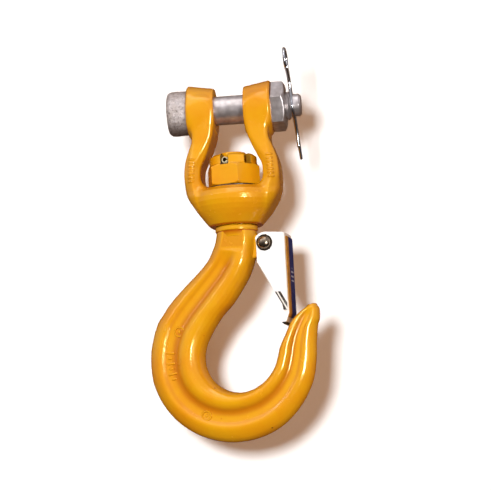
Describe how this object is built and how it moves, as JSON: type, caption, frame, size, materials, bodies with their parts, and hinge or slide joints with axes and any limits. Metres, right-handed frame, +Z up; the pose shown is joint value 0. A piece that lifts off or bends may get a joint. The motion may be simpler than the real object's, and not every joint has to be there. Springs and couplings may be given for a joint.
{
  "type": "swivel hook",
  "caption": "Forged lifting hook with a sprung safety latch, hung on a ball-bearing swivel under a clevis jaw closed by a bolt, nut and spring clip.",
  "frame": {"origin": "middle of the clevis bolt's axis, half way between the two ears of the jaw", "axes": "+X along the clevis bolt towards its nut, +Z up towards whatever the jaw hangs from, the hook opens towards +X, and -Y is the side that is seen when the bolt's nut is on the right"},
  "size_m": [0.1179, 0.0632, 0.2633],
  "materials": {
    "painted_steel": "gloss",
    "latch_white": "satin",
    "galvanised": "rough galvanised",
    "spring_steel": "bright",
    "bearing_steel": "ground",
    "cage_brass": "turned",
    "label_vinyl": "gloss"
  },
  "bodies": {
    "jaw": {"swivel_jaw": "painted_steel", "lower_race": "bearing_steel"},
    "bolt": {"clevis_bolt": "galvanised", "bolt_nut": "galvanised", "spring_clip": "spring_steel"},
    "hook": {"hook": "painted_steel", "castle_nut": "painted_steel", "roll_pin": "spring_steel", "upper_race": "bearing_steel", "latch_pin": "galvanised", "latch_washer_front": "galvanised", "latch_washer_back": "galvanised", "latch_spring": "spring_steel"},
    "cage": {"ball_cage": "cage_brass", "ball_01": "bearing_steel", "ball_02": "bearing_steel", "ball_03": "bearing_steel", "ball_04": "bearing_steel", "ball_05": "bearing_steel", "ball_06": "bearing_steel", "ball_07": "bearing_steel", "ball_08": "bearing_steel", "ball_09": "bearing_steel", "ball_10": "bearing_steel", "ball_11": "bearing_steel", "ball_12": "bearing_steel"},
    "latch": {"latch": "latch_white", "latch_label": "label_vinyl"}
  },
  "joints": [
    {"name": "bolt_spin", "type": "hinge", "parent": "jaw", "child": "bolt", "pos_m": [0, 0, 0], "axis": [1, 0, 0], "continuous": true},
    {"name": "swivel", "type": "hinge", "parent": "jaw", "child": "hook", "pos_m": [0, 0, -0.06], "axis": [0, 0, 1], "continuous": true},
    {"name": "cage_spin", "type": "hinge", "parent": "jaw", "child": "cage", "pos_m": [0, 0, -0.06], "axis": [0, 0, 1], "continuous": true},
    {"name": "latch_pivot", "type": "hinge", "parent": "hook", "child": "latch", "pos_m": [0.02144, -0.00263, -0.0951], "axis": [0.1219, 0.9925, 0], "range_deg": [0, 40], "stiffness_Nm_per_rad": 0.1, "springref_deg": -51.57, "deforming": ["latch_spring"]}
  ],
  "couplings": [
    {"joint": "cage_spin", "follows": "swivel", "ratio": 0.5}
  ]
}
